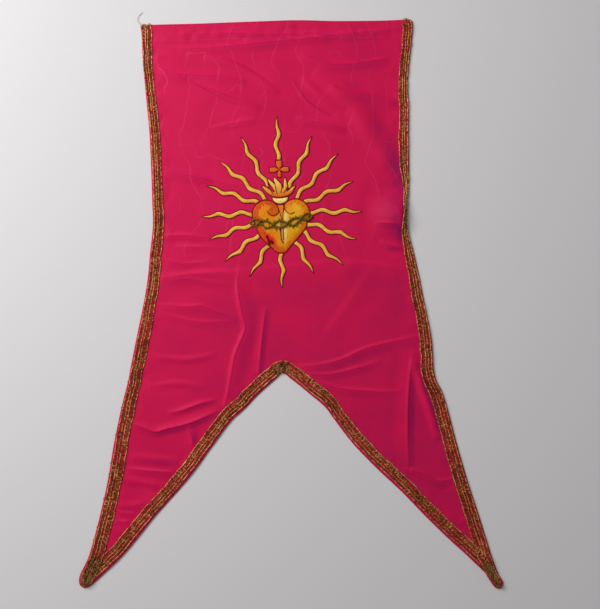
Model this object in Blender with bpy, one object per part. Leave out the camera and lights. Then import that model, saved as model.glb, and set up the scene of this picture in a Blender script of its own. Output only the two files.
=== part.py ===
"""A swallow-tailed church banner of pink shot silk, spread on a flat surface with its face up.

The cloth is one sheet whose top hem is turned and pressed flat. One length of woven braid is sewn round
the sides and the two tails. The flaming heart in its sunburst is made of pieces that are cut out and sewn on.
The row frame has +X to the right of the face, +Y towards the hemmed top edge and +Z out of the cloth. The
tables and the driving dimensions are in millimetres, and MM turns them into metres.
"""

import math
from collections import namedtuple

import bpy
import numpy as np
from mathutils.geometry import delaunay_2d_cdt

MM = 0.001

# Thicknesses and widths
CLOTH_THICK = 1.6
HEM_DEPTH = 26.0
HEM_EXTRA = 0.9
HEM_STEP = 5.0
BRAID_THICK = 1.2
BRAID_WIDTH_TOP = 13.2
BRAID_WIDTH_LOW = 16.0
BRAID_MITRE_EXTRA = 0.9
CLOTH_MARGIN = 2.0
SEAM_GAP = 0.3

# The sewn emblem: its middle on the banner, and how many degrees it leans to the left
EMBLEM_X, EMBLEM_UP, EMBLEM_LEAN = -13.5, 119.5, 2.3
APPLIQUE_THICK = 1.0
HEART_CROWN = 1.3
PIECE_GAP = 0.6

# The heart, from the emblem's middle: two round lobes, a round tip, and two unlike sides that swell between
# them. Each side has its own tip circle, by radius and how far out it lies, and its swell, fullest nearer the
# lobe where skew is below 1.
LOBE_RADIUS, LOBE_OUT, LOBE_UP = 18.9, 19.7, 2.2
TIP_DOWN = 50.7
HeartSide = namedtuple("HeartSide", "tip_radius tip_out swell skew")
RIGHT_OF_HEART = HeartSide(8.5, 0.0, 3.4, 0.5)
LEFT_OF_HEART = HeartSide(12.0, 2.0, 4.4, 0.9)
CLEFT_UP, CLEFT_TURN = 14.0, 140.0

# The pale collar and the flames over the cleft, from the emblem's middle
COLLAR_HALF_WIDTH, COLLAR_END_UP, COLLAR_DIP, COLLAR_DEPTH = 11.0, 24.8, 1.6, 9.2
HEARTH_HALF_WIDTH, HEARTH_END_UP, HEARTH_DIP, HEARTH_CROWN = 11.5, 26.4, 2.0, 4.6
FLAME_ROOT_UP = 27.5

# The cross of four petals
CROSS_UP, CROSS_NECK, PETAL_HALF_WIDTH = 61.8, 1.2, 3.6

# The flat ground that the stiffened emblem keeps, and how fast the folds come back round it
FLAT_HALF_WIDTH, FLAT_HALF_HEIGHT, FLAT_FADE = 116.0, 136.0, 0.16

# The wavy rays: clockwise turns from the emblem's top in degrees, of the inner end and of the tip, the reach
# of the tip, and the side that the last wave before the tip swings to, plus for clockwise
RAY_HALF_WIDTH, RAY_TAPER = 3.0, 24.0
RAY_WAVE, RAY_WAVELENGTH = 2.3, 31.0
RAY_START = 40.0
RAY_SAMPLES, RAY_SKIP, RAY_LINES = 241, 6, 9
Ray = namedtuple("Ray", "start_turn turn reach swing")
RAYS = (
    Ray(355, 0, 134, -1),
    Ray(20, 23.5, 115, -1),
    Ray(43, 45, 113, -1),
    Ray(66, 67, 108, -1),
    Ray(85, 89.5, 110, 1),
    Ray(108, 110, 107, 1),
    Ray(129.5, 131, 107, -1),
    Ray(153, 153, 90, -1),
    Ray(181.5, 181.5, 98, 1),
    Ray(205, 209.5, 93, 1),
    Ray(233, 233, 98, 1),
    Ray(257, 253.5, 103, 1),
    Ray(276.5, 271.5, 108, -1),
    Ray(298, 294, 108, 1),
    Ray(316.5, 313.5, 110, 1),
    Ray(337, 335, 119, 1),
)

# The place on the right side where the edge rolls over a raised bulge of cloth
BULGE_LOW, BULGE_HIGH = 78.0, 162.0
BULGE_HEIGHT = 11.0
BULGE_CREST, BULGE_REACH = 10.0, 46.0
BULGE_NARROWING = 0.52

# Mesh spacings
EDGE_STEP = 13.0
TIP_STEP = 4.5
LATTICE_STEP = 14.0
FOLD_STEP = 10.5
FINE_STEPS = 12
STEEPEST = 1.8
MERGE = 1e-4

# Both long sides: the height above the middle, and how far left and right the cloth reaches there
Side = namedtuple("Side", "up left right")
SIDES = (
    Side(376, -202, 164),
    Side(356, -201, 163),
    Side(329, -200, 160),
    Side(296, -197, 157.5),
    Side(264, -194, 159),
    Side(232, -191, 158.5),
    Side(167, -188, 159),
    Side(134, -187, 157.5),
    Side(110, -186, 157),
    Side(86, -188, 160.5),
    Side(70, -190, 165.5),
    Side(37, -193, 173),
    Side(5, -198, 179),
    Side(-44, -208, 189),
    Side(-84, -216, 192),
    Side(-101, -219, 195),
    Side(-117, -223, 203),
    Side(-141, -229, 211),
    Side(-190, -239, 224),
    Side(-238, -247, 238),
    Side(-287, -258, 254),
    Side(-335, -271, 269),
    Side(-352, -278, 275),
)
TOP_EDGE = ((164, 383), (120, 382), (60, 381.5), (5, 382.5), (-60, 380.5), (-125, 378), (-202, 376))

# The rounded ends of the tails and the edges of the notch, each from the left to the right
LEFT_TIP = ((-284, -364), (-286, -373), (-284, -380), (-277, -383), (-269, -379))
LEFT_NOTCH = (
    (-258, -369), (-224, -336), (-184, -287), (-155, -255), (-128, -222),
    (-105, -190), (-81, -158), (-62, -141), (-47, -125), (-30, -109), (-11, -93),
)
RIGHT_NOTCH = (
    (-11, -93), (8, -107), (26, -122), (46, -139), (60, -158), (85, -190),
    (116, -222), (150, -254), (182, -287), (215, -319), (234, -336), (261, -362),
)
RIGHT_TIP = ((273, -380), (279, -384), (285, -381), (286, -375), (280, -365))

# The main folds: height and half width of the ridge, and the points that its crest runs through
Fold = namedtuple("Fold", "height half_width crest")
FOLDS = (
    Fold(2.2, 11, ((-170, 363), (-88, 364), (15, 363), (108, 368), (146, 373))),
    Fold(2.6, 10, ((-150, 345), (-101, 346), (-52, 351), (-11, 355), (40, 360))),
    Fold(3.2, 11, ((-186, 319), (-153, 312), (-106, 308), (-69, 300))),
    Fold(3.6, 13, ((-155, 309), (-114, 289), (-65, 268), (-40, 262))),
    Fold(2.6, 14, ((-118, 333), (-88, 327), (-62, 317), (-16, 287))),
    Fold(3.0, 13, ((8, 338), (36, 327), (62, 324), (93, 326), (132, 331))),
    Fold(2.8, 13, ((0, 312), (20, 286), (41, 267), (62, 254))),
    Fold(2.8, 13, ((52, 298), (69, 286), (107, 279), (148, 271))),
    Fold(4.2, 20, ((70, 282), (100, 250), (122, 214), (134, 182))),
    Fold(3.6, 13, ((-178, 184), (-150, 177), (-128, 172))),
    Fold(3.0, 12, ((-176, 92), (-143, 92), (-112, 89))),
    Fold(2.4, 14, ((-176, 58), (-123, 63), (-80, 56))),
    Fold(2.2, 24, ((-60, -18), (40, -6), (110, 4), (170, -4))),
    Fold(5.0, 11, ((-64, -14), (-61, -36), (-73, -65), (-82, -102), (-90, -132))),
    Fold(3.4, 12, ((-38, -14), (-40, -42), (-44, -92))),
    Fold(4.0, 13, ((-212, -160), (-182, -173), (-136, -161), (-99, -146))),
    Fold(3.0, 12, ((-230, -226), (-198, -226), (-156, -229))),
    Fold(3.4, 12, ((18, -80), (68, -72), (99, -60), (129, -52), (172, -46))),
    Fold(3.4, 12, ((30, -98), (66, -113), (115, -117), (148, -118))),
    Fold(4.2, 13, ((172, -80), (160, -112), (158, -172), (160, -214))),
    Fold(3.0, 11, ((166, -224), (182, -231), (200, -239), (222, -238))),
)

COLOURS = {
    "silk": ((0.60, 0.012, 0.075, 1), 0.45),
    "braid": ((0.26, 0.075, 0.035, 1), 0.5),
    "gold_silk": ((0.66, 0.34, 0.06, 1), 0.5),
    "heart_silk": ((0.75, 0.28, 0.03, 1), 0.5),
    "cream_silk": ((0.72, 0.60, 0.30, 1), 0.5),
    "orange_silk": ((0.60, 0.13, 0.03, 1), 0.5),
}


def clear_scene():
    for existing in list(bpy.data.objects):
        bpy.data.objects.remove(existing, do_unlink=True)


def material(name):
    """The Principled material of a colour row, made on its first use."""
    made = bpy.data.materials.get(name)
    if made:
        return made
    colour, roughness = COLOURS[name]
    made = bpy.data.materials.new(name)
    made.use_nodes = True
    shader = made.node_tree.nodes["Principled BSDF"]
    shader.inputs["Base Color"].default_value = colour
    shader.inputs["Roughness"].default_value = roughness
    shader.inputs["Metallic"].default_value = 0.0
    made.diffuse_color = colour
    return made


# Plane curves


def smooth(points, step):
    """A Catmull-Rom curve through the points, cut into equal steps."""
    given = np.array(points, float)
    ends = np.vstack([2 * given[0] - given[1], given, 2 * given[-1] - given[-2]])
    t = np.linspace(0, 1, FINE_STEPS, endpoint=False)[:, None]
    spans = [
        b + 0.5 * ((c - a) * t + (2 * a - 5 * b + 4 * c - d) * t**2 + (3 * b - a - 3 * c + d) * t**3)
        for a, b, c, d in zip(ends, ends[1:], ends[2:], ends[3:])
    ]
    fine = np.vstack([*spans, given[-1:]])
    along = np.concatenate([[0], np.cumsum(np.linalg.norm(np.diff(fine, axis=0), axis=1))])
    stops = np.linspace(0, along[-1], max(2, round(along[-1] / step) + 1))
    return np.column_stack([np.interp(stops, along, fine[:, axis]) for axis in (0, 1)])


def left_normals(path, closed=False):
    """Unit vectors that point to the left of the way the path runs."""
    if closed:
        run = np.roll(path, -1, axis=0) - np.roll(path, 1, axis=0)
    else:
        run = np.gradient(path, axis=0)
    turned = np.column_stack([-run[:, 1], run[:, 0]])
    return turned / np.linalg.norm(turned, axis=1, keepdims=True)


def moved_left(path, distance, closed=False):
    return path + left_normals(path, closed) * np.reshape(distance, (-1, 1))


def crossing(first, second):
    """Where two polylines first cross: the span of each, and the point."""
    for i, (a, b) in enumerate(zip(first, first[1:])):
        for j, (c, d) in enumerate(zip(second, second[1:])):
            r, s = b - a, d - c
            cross = r[0] * s[1] - r[1] * s[0]
            if abs(cross) < 1e-9:
                continue
            t = ((c - a)[0] * s[1] - (c - a)[1] * s[0]) / cross
            u = ((c - a)[0] * r[1] - (c - a)[1] * r[0]) / cross
            if 0 <= t <= 1 and 0 <= u <= 1:
                return i, j, a + t * r
    raise ValueError("the two lines don't cross")


def meet(first, second):
    """Two lines cut off where they cross, as one line."""
    i, j, point = crossing(first, second)
    return np.vstack([first[: i + 1], point, second[j + 1 :]])


def lengthened(path, start=0.0, end=0.0):
    """The path with a straight piece added at each end."""
    first = path[0] - (path[1] - path[0]) / np.linalg.norm(path[1] - path[0]) * start
    last = path[-1] + (path[-1] - path[-2]) / np.linalg.norm(path[-1] - path[-2]) * end
    return np.vstack([*([first] if start else []), path, *([last] if end else [])])


def doubled_area(outline):
    x, y = outline[:, 0], outline[:, 1]
    return (x * np.roll(y, -1) - y * np.roll(x, -1)).sum()


def anticlockwise(outline):
    return outline if doubled_area(outline) > 0 else outline[::-1]


def inside(points, polygon):
    """Which of the points lie in the polygon, by the even-odd rule."""
    points = np.atleast_2d(points)
    found = np.zeros(len(points), bool)
    for a, b in zip(polygon, np.roll(polygon, -1, axis=0)):
        if a[1] == b[1]:
            continue
        between = (points[:, 1] < a[1]) != (points[:, 1] < b[1])
        x = a[0] + (points[:, 1] - a[1]) / (b[1] - a[1]) * (b[0] - a[0])
        found ^= between & (points[:, 0] < x)
    return found


def distance_to(points, path):
    """Each point's distance from a polyline, and how far along it the nearest place is, from 0 to 1."""
    starts, runs = path[:-1], np.diff(path, axis=0)
    lengths = np.linalg.norm(runs, axis=1)
    before = np.concatenate([[0], np.cumsum(lengths)])
    away = points[:, None, :] - starts[None]
    share = np.clip((away * runs).sum(2) / lengths**2, 0, 1)
    gaps = np.linalg.norm(away - share[..., None] * runs, axis=2)
    nearest = gaps.argmin(1)
    rows = np.arange(len(points))
    along = before[nearest] + share[rows, nearest] * lengths[nearest]
    return gaps[rows, nearest], along / before[-1]


# The banner's outline and the two edges of its braid

left_side = smooth([(s.left, s.up) for s in SIDES], EDGE_STEP)
right_side = smooth([(s.right, s.up) for s in reversed(SIDES)], EDGE_STEP)
left_tip = smooth([left_side[-1], *LEFT_TIP, LEFT_NOTCH[0]], TIP_STEP)
right_tip = smooth([RIGHT_NOTCH[-1], *RIGHT_TIP, right_side[0]], TIP_STEP)
left_notch = smooth(LEFT_NOTCH, EDGE_STEP)
right_notch = smooth(RIGHT_NOTCH, EDGE_STEP)
top_edge = smooth([right_side[-1], *TOP_EDGE[:-1], left_side[0]], EDGE_STEP)

below_top = np.vstack(
    [left_side, left_tip[1:], left_notch[1:], right_notch[1:], right_tip[1:], right_side[1:]]
)
OUTLINE = np.vstack([below_top, top_edge[1:-1]])
CENTRE = (OUTLINE.min(0) + OUTLINE.max(0)) / 2
TOP_OVERRUN = 12.0


def bulge_window(up):
    """How far into the rolled stretch of the right side a height lies, from 0 to 1 in its middle."""
    share = np.clip((up - BULGE_LOW) / (BULGE_HIGH - BULGE_LOW), 0, 1)
    return np.sin(math.pi * share) ** 2


def braid_width(path, rolled=False):
    """The braid's width seen from above: it is drawn narrower at the top, and where it stands on edge."""
    up = path[:, 1]
    width = np.interp(up, [0, SIDES[0].up], [BRAID_WIDTH_LOW, BRAID_WIDTH_TOP])
    return width * (1 - BULGE_NARROWING * bulge_window(up)) if rolled else width


def braid_edges():
    """The braid's outer edge, and the edge of the silk field inside it, as closed outlines."""
    outer = moved_left(below_top, CLOTH_MARGIN)
    outer = lengthened(outer, TOP_OVERRUN, TOP_OVERRUN)
    inner = [
        moved_left(left_side, CLOTH_MARGIN + braid_width(left_side)),
        moved_left(left_notch, CLOTH_MARGIN + braid_width(left_notch)),
        moved_left(right_notch, CLOTH_MARGIN + braid_width(right_notch)),
        moved_left(right_side, CLOTH_MARGIN + braid_width(right_side, rolled=True)),
    ]
    reach = 2 * BRAID_WIDTH_LOW
    inner = [lengthened(line, reach, reach) for line in inner]
    field = meet(meet(meet(inner[0], inner[1]), inner[2]), inner[3])
    return outer, field


BRAID_OUTER, FIELD = braid_edges()


# Heights of the cloth


def emblem_calm(points):
    """0 on the flat ground of the emblem, rising to 1 outside it."""
    across = (points[:, 0] - EMBLEM_X) / FLAT_HALF_WIDTH
    upward = (points[:, 1] - EMBLEM_UP) / FLAT_HALF_HEIGHT
    return np.clip((np.hypot(across, upward) - 1) / FLAT_FADE, 0, 1)


def bulge(points):
    """The raised cloth beside the rolled stretch of the right edge."""
    edge = np.interp(points[:, 1], right_side[:, 1], right_side[:, 0])
    in_from_edge = np.clip(edge - points[:, 0], 0, BULGE_REACH)
    outer = np.sin(math.pi / 2 * np.minimum(in_from_edge / BULGE_CREST, 1))
    inner = (in_from_edge - BULGE_CREST) / (BULGE_REACH - BULGE_CREST)
    fall = (1 + np.cos(math.pi * np.clip(inner, 0, 1))) / 2
    return BULGE_HEIGHT * outer * fall * bulge_window(points[:, 1])


def lift(points):
    """How far the cloth rises off the surface: rounded ridges on the folds' crests, and the bulge."""
    total = np.zeros(len(points))
    for fold in FOLDS:
        crest = smooth(fold.crest, FOLD_STEP)
        away, along = distance_to(points, crest)
        across = (1 + np.cos(math.pi * np.clip(away / fold.half_width, 0, 1))) / 2
        ends = np.sin(math.pi * np.clip(along, 0, 1)) ** 0.6
        total += (fold.height * across * ends) ** 3
    return (np.cbrt(total) + bulge(points)) * emblem_calm(points)


def hem_share(points):
    """1 on the turned hem, where the cloth is double, and 0 below its stitched edge."""
    top = np.interp(points[:, 0], top_edge[::-1, 0], top_edge[::-1, 1])
    down = top - points[:, 1]
    return np.clip((HEM_DEPTH + HEM_STEP - down) / HEM_STEP, 0, 1)


def steepness(points):
    """How much taller a thickness stands on a slope than on the flat, at most STEEPEST times."""
    nudge = 0.5
    slopes = [
        (lift(points + way) - lift(points - way)) / (2 * nudge)
        for way in (np.array([nudge, 0]), np.array([0, nudge]))
    ]
    return np.minimum(np.sqrt(1 + slopes[0] ** 2 + slopes[1] ** 2), STEEPEST)


def cloth_top(points):
    thick = CLOTH_THICK + HEM_EXTRA * hem_share(points)
    return lift(points) + thick * steepness(points)


def braid_bottom(points):
    return cloth_top(points) + SEAM_GAP * steepness(points)


def braid_top(points):
    """The braid is thicker where it is folded over itself at the tails' ends and the notch."""
    turns = np.array([LEFT_TIP[3], LEFT_NOTCH[-1], RIGHT_TIP[1]], float)
    away = np.linalg.norm(points[:, None] - turns[None], axis=2).min(1)
    doubled = np.clip(1 - away / (1.6 * BRAID_WIDTH_LOW), 0, 1)
    thick = BRAID_THICK + BRAID_MITRE_EXTRA * doubled
    return braid_bottom(points) + thick * steepness(points)


# Solids from outlines


def triangulated(outlines, loose=()):
    """Constrained Delaunay triangles of closed outlines that share one plane, with loose points inside.

    Returns the points, the triangles and, for each triangle, the set of the outlines it lies in.
    """
    outlines = [anticlockwise(outline) for outline in outlines]
    points = [tuple(p) for outline in outlines for p in outline]
    faces, start = [], 0
    for outline in outlines:
        faces.append(list(range(start, start + len(outline))))
        start += len(outline)
    points += [tuple(p) for p in loose]
    found = delaunay_2d_cdt(points, [], faces, 1, MERGE)
    plane = np.array([tuple(p) for p in found[0]])
    return plane, found[2], [set(members) for members in found[5]]


def slab(name, finish, plane, triangles, bottom, top):
    """One closed solid: the triangles at the heights bottom and top, joined by walls at their rim."""
    used = sorted({corner for triangle in triangles for corner in triangle})
    place = {corner: i for i, corner in enumerate(used)}
    flat = plane[used]
    moved = flat - CENTRE
    heights = np.concatenate([bottom(flat), top(flat)])
    points = np.column_stack([np.vstack([moved, moved]), heights]) * MM
    above = len(used)
    faces, rim = [], {}
    for triangle in triangles:
        a, b, c = (place[corner] for corner in triangle)
        (x1, y1), (x2, y2), (x3, y3) = flat[a], flat[b], flat[c]
        if (x2 - x1) * (y3 - y1) < (x3 - x1) * (y2 - y1):
            b, c = c, b
        faces += [(a + above, b + above, c + above), (a, c, b)]
        for edge in ((a, b), (b, c), (c, a)):
            rim[edge] = edge[::-1] not in rim
            if not rim[edge]:
                rim[edge[::-1]] = False
    for (a, b), open_edge in rim.items():
        if open_edge:
            faces.append((a, b, b + above, a + above))
    mesh = bpy.data.meshes.new(name)
    mesh.from_pydata(points.tolist(), [], faces)
    mesh.materials.append(material(finish))
    mesh.validate()
    made = bpy.data.objects.new(name, mesh)
    bpy.context.scene.collection.objects.link(made)
    return made


def spaced_out(candidates, kept, gap):
    """The candidates that lie no nearer than gap to the points kept so far, in turn."""
    chosen = [np.asarray(p, float) for p in kept]
    added = []
    for point in candidates:
        if np.linalg.norm(np.array(chosen) - point, axis=1).min() >= gap:
            chosen.append(point)
            added.append(point)
    return added


def cloth_points():
    """Loose points in the cloth: rows along each fold and the bulge, then a triangular lattice."""
    rows = []
    for fold in FOLDS:
        crest = smooth(fold.crest, FOLD_STEP)
        sideways = left_normals(crest)
        rows += [crest + sideways * fold.half_width * share for share in (0, 0.5, -0.5, 1, -1)]
    levels = np.arange(BULGE_LOW, BULGE_HIGH + 1, FOLD_STEP)
    edge = np.interp(levels, right_side[:, 1], right_side[:, 0])
    for inward in (0.4, 0.65, 1.0):
        rows.append(np.column_stack([edge - inward * BULGE_REACH, levels]))
    low, high = OUTLINE.min(0), OUTLINE.max(0)
    lattice = [
        (x + (row % 2) * LATTICE_STEP / 2, y)
        for row, y in enumerate(np.arange(low[1], high[1], LATTICE_STEP * math.sqrt(3) / 2))
        for x in np.arange(low[0], high[0], LATTICE_STEP)
    ]
    edges = np.vstack([OUTLINE, BRAID_OUTER, FIELD])
    nearby = [closed(OUTLINE), BRAID_OUTER, FIELD]
    folds = roomy(np.vstack(rows), nearby, 4.0)
    folds = spaced_out(folds, edges, 4.0)
    flats = roomy(np.array(lattice), nearby, 7.0)
    return folds + spaced_out(flats, np.vstack([edges, folds]), 0.62 * LATTICE_STEP)


def closed(outline):
    return np.vstack([outline, outline[:1]])


def roomy(points, lines, gap):
    """The points inside the banner that keep a distance from every given line."""
    clear = inside(points, OUTLINE)
    for line in lines:
        clear &= distance_to(points, line)[0] >= gap
    return points[clear]


def build_cloth_and_braid():
    """The silk sheet and the braid on it come from one triangulation, so they fit at every fold."""
    plane, triangles, within = triangulated([OUTLINE, BRAID_OUTER, FIELD], cloth_points())
    silk = [t for t, areas in zip(triangles, within) if 0 in areas]
    braid = [t for t, areas in zip(triangles, within) if areas == {0, 1}]
    slab("silk_panel", "silk", plane, silk, lift, cloth_top)
    slab("gold_braid", "braid", plane, braid, braid_bottom, braid_top)


# The emblem's outlines


def on_banner(points):
    """Places in the emblem's own frame, leaned and moved to the emblem's middle on the banner."""
    lean = math.radians(EMBLEM_LEAN)
    turned = np.array([[math.cos(lean), math.sin(lean)], [-math.sin(lean), math.cos(lean)]])
    return np.array(points, float) @ turned + (EMBLEM_X, EMBLEM_UP)


def arc(centre, radius, start, end, points):
    """Points on a circle between two angles in degrees."""
    turn = np.radians(np.linspace(start, end, points))
    return np.array(centre) + radius * np.column_stack([np.cos(turn), np.sin(turn)])


def heart_half(side):
    """One side of the heart, as if on the right: round the lobe, down the side and round the tip."""
    lobe, tip = np.array([LOBE_OUT, LOBE_UP]), np.array([side.tip_out, side.tip_radius - TIP_DOWN])
    run = tip - lobe
    tangent = math.degrees(math.atan2(run[1], run[0])) + 90
    tangent -= math.degrees(math.asin((LOBE_RADIUS - side.tip_radius) / np.linalg.norm(run)))
    round_lobe = arc(lobe, LOBE_RADIUS, CLEFT_TURN, tangent, 14)
    round_tip = arc(tip, side.tip_radius, tangent, -90, 5)
    s = np.linspace(0, 1, 9)[1:-1, None]
    outward = (round_lobe[-1] - lobe) / LOBE_RADIUS
    straight = round_lobe[-1] + s * (round_tip[0] - round_lobe[-1])
    swollen = straight + side.swell * np.sin(math.pi * s**side.skew) ** 1.3 * outward
    return np.vstack([round_lobe, swollen, round_tip])


def heart_outline():
    right, left = heart_half(RIGHT_OF_HEART), heart_half(LEFT_OF_HEART) * (-1, 1)
    return on_banner(np.vstack([(0, CLEFT_UP), right, left[::-1]]))


def leaf(root, tip, half_width, bend):
    """A tongue of flame: full from its root to past its middle, and bent on its way to the tip."""
    root, tip = np.array(root, float), np.array(tip, float)
    s = np.linspace(0, 1, 11)[:, None]
    run = tip - root
    side = np.array([-run[1], run[0]]) / np.linalg.norm(run)
    middle = root + s * run + side * bend * np.sin(1.5 * math.pi * s)
    width = half_width * (0.8 + 0.2 * np.sin(math.pi * s)) * (1 - s**4) ** 0.7
    return np.vstack([middle[:-1] - side * width[:-1], middle[-1:], (middle + side * width)[:-1][::-1]])


def flame_outlines():
    """Three upright tongues, two that lick out over the heart's lobes, and the hearth that joins them."""
    Tongue = namedtuple("Tongue", "root_x tip_x tip_up half_width bend")
    tongues = (
        Tongue(-5.0, -25.0, 39.5, 3.3, 1.0),
        Tongue(-4.4, -14.0, 51.0, 3.2, -1.8),
        Tongue(0.6, -5.4, 52.5, 4.0, -2.0),
        Tongue(4.4, 9.0, 51.0, 3.0, -1.3),
        Tongue(5.0, 22.0, 38.0, 3.1, -1.4),
    )
    leaves = [
        leaf((t.root_x, FLAME_ROOT_UP), (t.tip_x, t.tip_up), t.half_width, t.bend) for t in tongues
    ]
    x = np.linspace(-HEARTH_HALF_WIDTH, HEARTH_HALF_WIDTH, 13)
    share = x / HEARTH_HALF_WIDTH
    lower = np.column_stack([x, HEARTH_END_UP - HEARTH_DIP * (1 - share**2)])
    upper = np.column_stack([x, HEARTH_END_UP + HEARTH_CROWN * np.sqrt(1 - share**2)])
    return [on_banner(outline) for outline in (np.vstack([lower, upper[-2:0:-1]]), *leaves)]


def collar_outline():
    """The pale crescent that sits in the heart's cleft."""
    x = np.linspace(-COLLAR_HALF_WIDTH, COLLAR_HALF_WIDTH, 15)
    share = x / COLLAR_HALF_WIDTH
    upper = np.column_stack([x, COLLAR_END_UP - COLLAR_DIP * (1 - share**2)])
    lower = np.column_stack([x, COLLAR_END_UP - COLLAR_DEPTH * np.sqrt(1 - share**2)])
    return on_banner(np.vstack([lower, upper[-2:0:-1]]))


def cross_outline():
    """Four petals that narrow to a neck where they meet; each swells to its blunt outer end."""
    middle = np.array([0, CROSS_UP])
    Petal = namedtuple("Petal", "turn reach half_width")
    petals = (
        Petal(90, 12.3, 1.15 * PETAL_HALF_WIDTH),
        Petal(0, 13.2, PETAL_HALF_WIDTH),
        Petal(-90, 10.4, 0.8 * PETAL_HALF_WIDTH),
        Petal(-180, 13.2, PETAL_HALF_WIDTH),
    )
    outline = []
    for petal in petals:
        turn = math.radians(petal.turn)
        out = np.array([math.cos(turn), math.sin(turn)])
        side = np.array([-out[1], out[0]])
        s = np.array([0.27, 0.45, 0.75, 0.95, 1.0])[:, None]
        width = petal.half_width * np.array([0.68, 0.96, 1.0, 0.95, 0.75])[:, None]
        one, other = (middle + s * petal.reach * out + way * width * side for way in (1, -1))
        outline.append(np.vstack([middle + CROSS_NECK * (out + side), one, other[::-1]]))
    return on_banner(np.vstack(outline))


def ray_outline(ray, blockers):
    """One wavy ray of the sunburst, from clear of the pieces inside it out to its pointed end."""
    start, tip = (
        reach * np.array([math.sin(math.radians(turn)), math.cos(math.radians(turn))])
        for reach, turn in ((RAY_START, ray.start_turn), (ray.reach, ray.turn))
    )
    length = np.linalg.norm(tip - start)
    out = (tip - start) / length
    side = np.array([out[1], -out[0]])
    s = np.linspace(-0.75 * RAY_START, length, RAY_SAMPLES)
    fading = np.clip((length - s) / RAY_TAPER, 0, 1)
    wave = ray.swing * RAY_WAVE * np.sin(2 * math.pi * (length - s) / RAY_WAVELENGTH) * fading
    width = RAY_HALF_WIDTH * fading**0.7
    ways = np.linspace(-1, 1, RAY_LINES)
    lines = [on_banner(start + s[:, None] * out + (wave + way * width)[:, None] * side) for way in ways]
    first = [
        1 + np.flatnonzero(np.any([inside(line, blocker) for blocker in blockers], axis=0)).max()
        for line in lines
    ]
    # Beside a blocker's corner the ray's edge starts level with it and runs into no thin horn
    first[0], first[-1] = max(first[0], first[1] - RAY_SKIP), max(first[-1], first[-2] - RAY_SKIP)
    one = lines[0][first[0] : -1 : RAY_SKIP]
    other = lines[-1][first[-1] : -1 : RAY_SKIP]
    base = [line[begin] for line, begin in zip(lines[1:-1], first[1:-1])]
    return np.vstack([one, lines[0][-1:], other[::-1], base[::-1]])


def grown(outline):
    """The closed outline moved outwards by the gap between two sewn pieces."""
    return moved_left(anticlockwise(outline), -PIECE_GAP, closed=True)


def applique_bottom(points):
    return cloth_top(points) + SEAM_GAP


def applique_top(points):
    return applique_bottom(points) + APPLIQUE_THICK


def heart_top(points):
    """The padded heart is thickest in its middle."""
    away = distance_to(points, closed(heart_outline()))[0]
    return applique_top(points) + HEART_CROWN * np.sin(math.pi / 2 * np.clip(away / 18, 0, 1))


def build_piece(name, finish, include, top, exclude=(), loose=()):
    """A solid of the plane inside any of the outlines to include and outside those to exclude."""
    plane, triangles, within = triangulated([*include, *exclude], loose)
    wanted = set(range(len(include)))
    barred = set(range(len(include), len(include) + len(exclude)))
    kept = [t for t, areas in zip(triangles, within) if areas & wanted and not areas & barred]
    return slab(name, finish, plane, kept, applique_bottom, top)


def build_emblem():
    heart, collar, cross = heart_outline(), collar_outline(), cross_outline()
    flames = flame_outlines()
    middle = np.array([EMBLEM_X, EMBLEM_UP])
    rings = np.vstack([middle + (heart - middle) * share for share in (0.8, 0.55, 0.25)])
    rings = spaced_out(rings[inside(rings, heart)], heart, 4.5)
    build_piece("heart", "heart_silk", [heart], heart_top, loose=rings)
    build_piece("heart_collar", "cream_silk", [collar], applique_top, [grown(heart)])
    build_piece("flames", "gold_silk", flames, applique_top, [grown(heart), grown(collar)])
    build_piece("cross", "orange_silk", [cross], applique_top)
    blockers = [grown(piece) for piece in (heart, collar, cross, *flames)]
    for number, ray in enumerate(RAYS, start=1):
        build_piece(f"ray_{number:02d}", "gold_silk", [ray_outline(ray, blockers)], applique_top)


def main():
    clear_scene()
    build_cloth_and_braid()
    build_emblem()


main()
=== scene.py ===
"""The looks of the swallow-tailed church banner: watered silk, its woven braid and its embroidered heart.

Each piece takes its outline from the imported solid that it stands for. The tables and the sizes are in
millimetres in the row frame, and MM turns them into metres when a mesh is made. Colours are given as they
show on a screen, from 0 to 255, and linear() turns them into the shader's numbers.
"""

import math
from collections import namedtuple

import bpy
import numpy as np
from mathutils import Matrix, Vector
from mathutils.geometry import delaunay_2d_cdt


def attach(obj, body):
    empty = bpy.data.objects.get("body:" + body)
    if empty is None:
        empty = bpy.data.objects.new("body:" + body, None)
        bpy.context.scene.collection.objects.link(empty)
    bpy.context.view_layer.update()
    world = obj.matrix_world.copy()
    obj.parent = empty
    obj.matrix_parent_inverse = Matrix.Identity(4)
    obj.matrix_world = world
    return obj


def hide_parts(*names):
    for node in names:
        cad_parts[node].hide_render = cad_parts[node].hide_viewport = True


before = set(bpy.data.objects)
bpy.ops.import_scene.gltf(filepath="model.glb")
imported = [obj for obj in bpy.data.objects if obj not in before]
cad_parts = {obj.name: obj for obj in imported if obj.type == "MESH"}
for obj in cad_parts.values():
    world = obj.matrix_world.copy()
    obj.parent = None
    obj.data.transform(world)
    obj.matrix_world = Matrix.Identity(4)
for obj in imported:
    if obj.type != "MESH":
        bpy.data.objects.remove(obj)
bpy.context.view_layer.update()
MM = 0.001
BODY = "root"

# The photograph's frame, as it lies on the table
VIEW_CENTRE = (12.0, -0.5)
VIEW_HEIGHT = 822.0
CAMERA_UP = 1300.0

# Silk
SILK_STEP = 2.7
SILK_THICK = 0.9
HEM_DEPTH, HEM_EXTRA, HEM_STEP = 26.0, 0.3, 3.0
RELIEF_STEP = 1.5
BASE_RISE = 0.5
WATERED_ABOVE, WATERED_FADE = 50.0, 70.0
STORAGE_FOLD_UP = 46.0
LIGHT_FROM = (-0.84, 0.55)
CRISP, CREASE_STEP, CREASE_WIDTH = 0.5, 0.42, 1.2

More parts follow.
